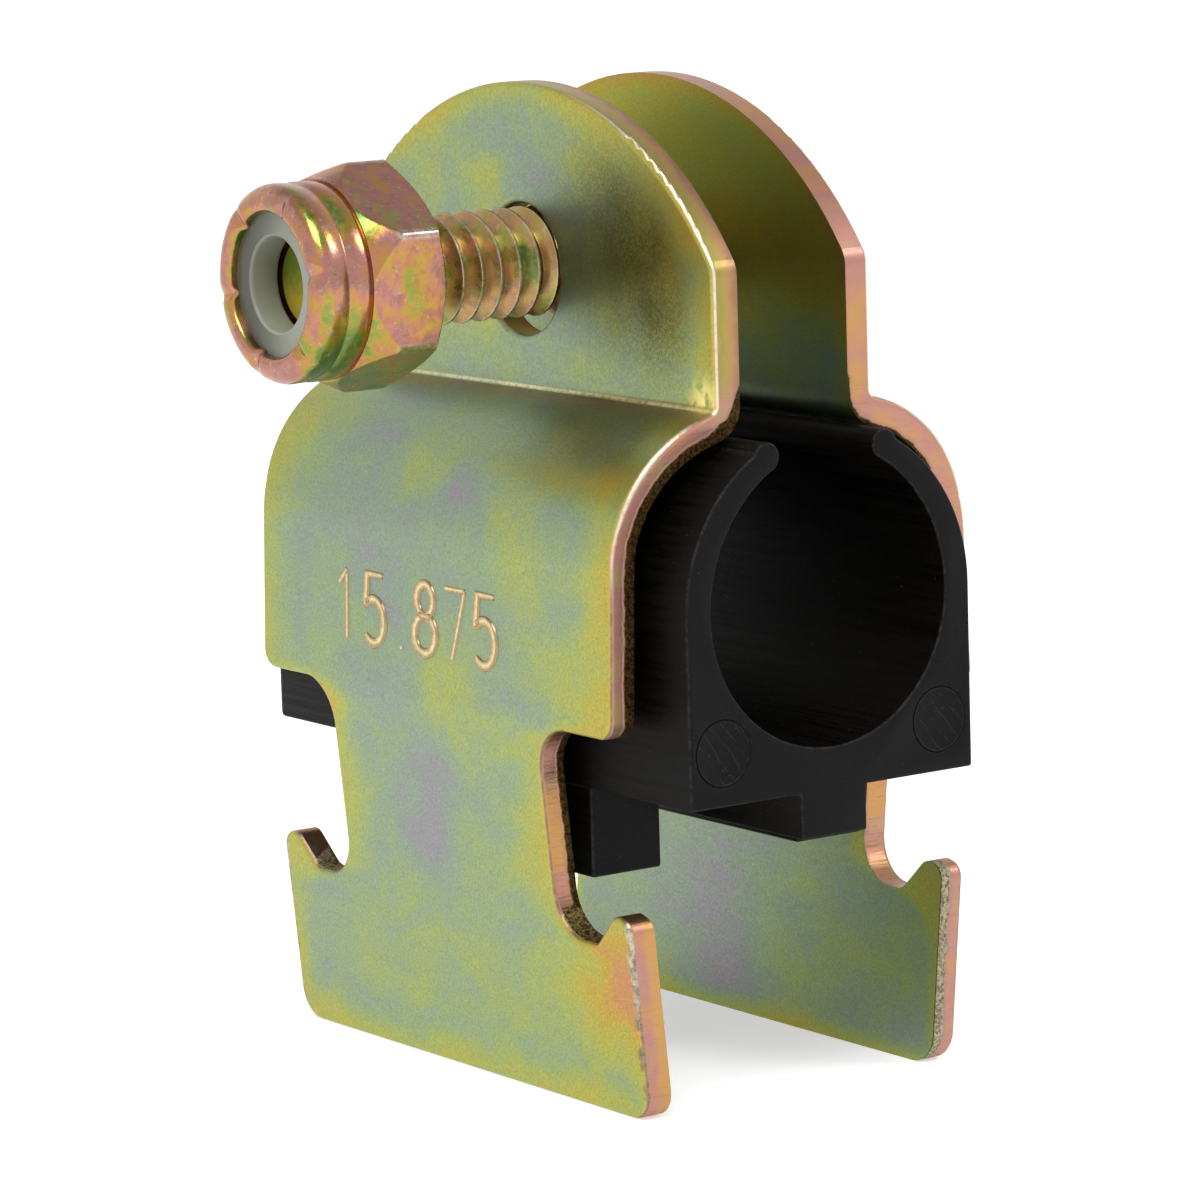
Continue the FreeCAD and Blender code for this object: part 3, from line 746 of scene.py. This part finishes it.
def lock_nut(front, face, insert_front, insert_back, axis_height):
    """Hexagon with a round collar whose lip is crimped over the nylon ring."""
    hex_front = face - NUT_HEX_HEIGHT
    stations = chamfered_hex(hex_front, face, NUT_FLATS, NUT_FRONT_CHAMFER, CORNER_CHAMFER)[::-1]
    for ahead, drop in COLLAR_PROFILE:
        stations.append(round_station(hex_front - ahead, NUT_COLLAR_RADIUS - drop))
    for k in range(NUT_LIP_STEPS + 1):
        angle = math.pi / 2 * k / NUT_LIP_STEPS
        x = front + NUT_LIP_ROUND * (1 - math.sin(angle))
        radius = NUT_COLLAR_RADIUS - NUT_LIP_ROUND * (1 - math.cos(angle))
        stations.append(collar_station(x, radius, 1 - math.cos(angle)))
    for k in range(NUT_INNER_STEPS + 1):
        angle = math.pi / 2 * k / NUT_INNER_STEPS
        x = front + NUT_INNER_ROUND * (1 - math.cos(angle))
        radius = NUT_LIP_RADIUS + NUT_INNER_ROUND * (1 - math.sin(angle))
        stations.append(collar_station(x, radius, 1.0))
    bore = [
        (insert_front, NUT_LIP_RADIUS), (insert_front, CAVITY_RADIUS), (insert_back, CAVITY_RADIUS),
        (insert_back, NUT_BORE_RADIUS), (face - NUT_COUNTERSINK, NUT_BORE_RADIUS),
        (face, NUT_BORE_RADIUS + NUT_COUNTERSINK)]
    stations += [round_station(x, radius) for x, radius in bore]
    return turned(stations, axis_height, NUT_TURN, NUT_STEPS)


def arc(centre_u, centre_v, radius_u, radius_v, start, end, steps=16):
    """Points along part of an ellipse."""
    points = []
    for k in range(steps + 1):
        angle = math.radians(start + (end - start) * k / steps)
        points.append((centre_u + radius_u * math.cos(angle), centre_v + radius_v * math.sin(angle)))
    return points


def nylon_ring(front, back, axis_height):
    """The insert, its bore's edges rounded."""
    edge = INSERT_EDGE
    edge_radius = INSERT_BORE_RADIUS + edge
    profile = [(front, INSERT_RADIUS), (back, INSERT_RADIUS)]
    profile += arc(back - edge, edge_radius, edge, edge, 0, -90, INSERT_EDGE_STEPS)
    profile += arc(front + edge, edge_radius, edge, edge, -90, -180, INSERT_EDGE_STEPS)
    return turned([round_station(x, radius) for x, radius in profile], axis_height)


# Strokes of the number's plain figures, in shares of their height
FIGURES = {
    "1": [[(0.14, 0.8), (0.34, 1.0)], [(0.34, 1.0), (0.34, 0.0)]],
    "5": [[(0.52, 1.0), (0.12, 1.0), (0.08, 0.55)] + arc(0.28, 0.32, 0.27, 0.32, 130, -140)],
    "7": [[(0.06, 1.0), (0.56, 1.0)], [(0.56, 1.0), (0.24, 0.0)]],
    "8": [arc(0.31, 0.77, 0.21, 0.23, -90, 270), arc(0.31, 0.27, 0.27, 0.27, 90, 450)],
    ".": [[(0.24, 0.0), (0.24, 0.05)]],
}


def stroke(points):
    """One stamped stroke, a shallow channel between two low lips: vertices, faces and places across it."""
    vertices = []
    shares = []
    for i, (u, v) in enumerate(points):
        before = points[max(i - 1, 0)]
        after = points[min(i + 1, len(points) - 1)]
        length = math.hypot(after[0] - before[0], after[1] - before[1])
        side = ((after[1] - before[1]) / length, -(after[0] - before[0]) / length)
        taper = STROKE_END_SHARE if i in (0, len(points) - 1) else 1.0
        for across, height in STROKE_SECTION:
            reach = across * taper * STROKE_WIDTH / 2
            vertices.append((u + side[0] * reach, v + side[1] * reach, height * STROKE_LIP * taper))
            shares.append(abs(across))
    wide = len(STROKE_SECTION)
    faces = []
    for i in range(len(points) - 1):
        for k in range(wide):
            near = i * wide + k
            beside = i * wide + (k + 1) % wide
            faces.append((near, beside, beside + wide, near + wide))
    faces.append(tuple(range(wide)))
    faces.append(tuple(reversed(range((len(points) - 1) * wide, len(points) * wide))))
    return vertices, faces, shares


def stamped_number():
    """The number on the near wall, its strokes laid on the splayed plate: vertices, faces, places across."""
    splay = math.tan(math.radians(WALL_SPLAY))
    vertices = []
    faces = []
    shares = []
    start = NUMBER_START
    for figure in NUMBER:
        for points in FIGURES[figure]:
            flat, quads, across = stroke([(u * NUMBER_HEIGHT, v * NUMBER_HEIGHT) for u, v in points])
            shares += across
            faces += [tuple(i + len(vertices) for i in quad) for quad in quads]
            for u, v, height in flat:
                z = NUMBER_BASE + v
                x = -(WALL_AT_KNEE - (z - KNEE_HEIGHT) * splay)
                vertices.append((x - height, start - u, z))
        start -= NUMBER_HEIGHT * (POINT_ADVANCE if figure == "." else FIGURE_ADVANCE)
    return vertices, faces, shares


def dressed_half(node_name, body, outward_sign, material):
    """A copy of a half's mesh that knows how near each point is to its outer skin."""
    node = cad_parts[node_name]
    mesh = node.data.copy()
    piece = add_object(node_name + "_dressed", mesh)
    points = [v.co.copy() for v in mesh.vertices]
    inner = [tuple(p.vertices) for p in mesh.polygons if p.normal.x * outward_sign < -0.25]
    skin = BVHTree.FromPolygons(points, inner)
    attribute = mesh.attributes.new("outward", "FLOAT", "POINT")
    attribute.data.foreach_set("value", [skin.find_nearest(p)[3] / (SHEET * MM) for p in points])
    mesh.materials.clear()
    mesh.materials.append(material)
    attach(piece, body)
    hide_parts(node_name)


def softened_cushion():
    """A copy of the cushion's mesh with the small rounded edges of a rubber moulding.

    Where edges are closer than the rounding, its points overshoot, so they go back to the solid's skin.
    """
    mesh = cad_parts["cushion"].data.copy()
    shell = bmesh.new()
    shell.from_mesh(mesh)
    bmesh.ops.remove_doubles(shell, verts=shell.verts, dist=CUSHION_WELD_DISTANCE * MM)
    bmesh.ops.dissolve_limit(shell, angle_limit=math.radians(1.0), verts=shell.verts, edges=shell.edges)
    skin = BVHTree.FromBMesh(shell)
    sharpest = math.radians(SHARP_FROM)
    sharp = [e for e in shell.edges if len(e.link_faces) == 2 and e.calc_face_angle(0.0) > sharpest]
    bmesh.ops.bevel(shell, geom=sharp, offset=CUSHION_EDGE * MM, offset_type="OFFSET", affect="EDGES",
                    segments=CUSHION_EDGE_STEPS, profile=0.5, clamp_overlap=False)
    for vertex in shell.verts:
        nearest, _, _, gap = skin.find_nearest(vertex.co)
        if gap > CUSHION_EDGE / 2 * MM:
            vertex.co = nearest
    shell.to_mesh(mesh)
    shell.free()
    shade_smooth(mesh, CUSHION_SHARP_FROM)
    return add_object("cushion_moulding", mesh)


def add_camera():
    azimuth = math.radians(CAMERA_AZIMUTH)
    elevation = math.radians(CAMERA_ELEVATION)
    roll = math.radians(CAMERA_ROLL)
    back = Vector((math.sin(azimuth) * math.cos(elevation), -math.cos(azimuth) * math.cos(elevation),
                   math.sin(elevation)))
    right = (-back).cross(Vector((0, 0, 1))).normalized()
    up = right.cross(-back)
    rolled_right = math.cos(roll) * right + math.sin(roll) * up
    rolled_up = math.cos(roll) * up - math.sin(roll) * right
    data = bpy.data.cameras.new("photo_camera")
    data.lens = CAMERA_LENS
    data.sensor_width = 36.0
    data.sensor_fit = "HORIZONTAL"
    data.clip_start = 0.01
    camera = add_object("photo_camera", data)
    place = (back * CAMERA_DISTANCE + right * CAMERA_ASIDE + up * CAMERA_LIFT) * MM
    turn = Matrix((rolled_right, rolled_up, back)).transposed().to_4x4()
    camera.matrix_world = Matrix.Translation(place) @ turn
    bpy.context.scene.camera = camera


def add_softbox(name, direction, distance, size, radiance):
    """A square area lamp that looks at the clamp from a direction."""
    data = bpy.data.lights.new(name, "AREA")
    data.shape = "SQUARE"
    data.size = size
    data.energy = radiance * math.pi * size ** 2
    lamp = add_object(name, data)
    place = Vector(direction).normalized() * distance
    lamp.location = place
    lamp.rotation_euler = place.to_track_quat("Z", "Y").to_euler()


def grey(level):
    return (level, level, level, 1.0)


def add_world():
    """A pale studio: white to the camera, a soft ceiling to what mirrors it, and even light for the rest."""
    world = bpy.data.worlds.new("studio")
    bpy.context.scene.world = world
    s = Shader(world)
    height = s.axes(s.node("TexCoord").outputs["Generated"])[2]
    levels = [(at, grey(brightness)) for at, brightness in WORLD_LEVELS]
    mirrored = s.ramp(s.node("MapRange", height, -1.0, 1.0).outputs[0], levels)
    rays = s.node("LightPath").outputs
    seen = s.mix(rays["Is Glossy Ray"], grey(WORLD_DIFFUSE), mirrored)
    seen = s.mix(rays["Is Camera Ray"], seen, grey(1.0))
    s.node("OutputWorld", s.node("Background", seen).outputs[0])


def add_floor(height):
    """A pale floor that glows a little, so that it shows white and keeps a soft shadow."""
    mesh = bpy.data.meshes.new("floor")
    reach = FLOOR_REACH_METRES
    mesh.from_pydata([(-reach, -reach, height), (reach, -reach, height), (reach, reach, height),
                      (-reach, reach, height)], [], [(0, 1, 2, 3)])
    floor = add_object("floor", mesh)
    s = new_look("floor_look")
    rays = s.node("LightPath").outputs
    diffuse = s.node("BsdfDiffuse", grey(FLOOR_GREY))
    glow = s.node("Emission", grey(1.0), FLOOR_GLOW)
    sheen = s.node("Emission", grey(1.0), s.product(rays["Is Glossy Ray"], FLOOR_SHEEN))
    lit = s.node("MixShader", rays["Is Camera Ray"], sheen.outputs[0], glow.outputs[0])
    both = s.node("AddShader", diffuse.outputs[0], lit.outputs[0])
    s.node("OutputMaterial", both.outputs[0])
    mesh.materials.append(s.owner)


def span(node_name, axis):
    """A node's lowest and highest coordinate along an axis, in millimetres."""
    low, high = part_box(node_name)
    return low[axis] / MM, high[axis] / MM


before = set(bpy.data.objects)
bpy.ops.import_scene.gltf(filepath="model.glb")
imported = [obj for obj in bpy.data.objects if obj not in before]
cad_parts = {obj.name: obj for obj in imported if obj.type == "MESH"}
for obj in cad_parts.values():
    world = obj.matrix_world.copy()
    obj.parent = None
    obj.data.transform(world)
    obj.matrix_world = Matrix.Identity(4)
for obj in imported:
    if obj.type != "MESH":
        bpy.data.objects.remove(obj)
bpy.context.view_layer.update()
bpy.context.scene.view_settings.view_transform = "Standard"

add_camera()
add_world()
add_floor(span("nut_side_clamp_half", 2)[0] * MM)
for softbox in SOFTBOXES:
    add_softbox(*softbox)

sheet = plated_sheet()
dressed_half("nut_side_clamp_half", "nut_half", -1, sheet)
dressed_half("head_side_clamp_half", "head_half", 1, sheet)
stroke_vertices, stroke_faces, across = stamped_number()
number = new_piece("stamped_number", stroke_vertices, stroke_faces, struck_number_with_highlight(), "nut_half",
                   "plated_sheet")
number.data.attributes.new("across", "FLOAT", "POINT").data.foreach_set("value", across)

nut_front, nut_face = span("lock_nut", 0)
ring_front, ring_back = span("nylon_insert", 0)
axis_height = sum(span("lock_nut", 2)) / 2
tip, head_top = span("bolt", 0)
seat = head_top - HEAD_HEIGHT
nut_steel = plated_fastener(
    "nut_look", NUT_COLOURS, axis_height, NUT_RUBBED_AND_GLINT_FROM, patch=3.2, roughness=0.14, tints=NUT_TINTS)
bolt_steel = plated_fastener(
    "bolt_look", BOLT_COLOURS, axis_height, BOLT_RUBBED_AND_GLINT_FROM, patch=2.4, roughness=0.24, end_at=tip)
bolt = new_piece("threaded_bolt", *threaded_bolt(tip, seat, axis_height), bolt_steel, "bolt", "plated_bolt",
                 weld=True)
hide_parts("bolt")
nut = new_piece("crimped_nut", *lock_nut(nut_front, nut_face, ring_front, ring_back, axis_height), nut_steel,
                "nut", "plated_nut")
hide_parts("lock_nut")
ring = new_piece("nylon_ring", *nylon_ring(ring_front, ring_back, axis_height), nylon(), "nut", "nylon")
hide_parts("nylon_insert")

cushion = softened_cushion()
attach(cushion, "head_half")
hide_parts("cushion")
cushion.data.materials.clear()
cushion.data.materials.append(moulded_rubber(span("cushion", 1)[0]))
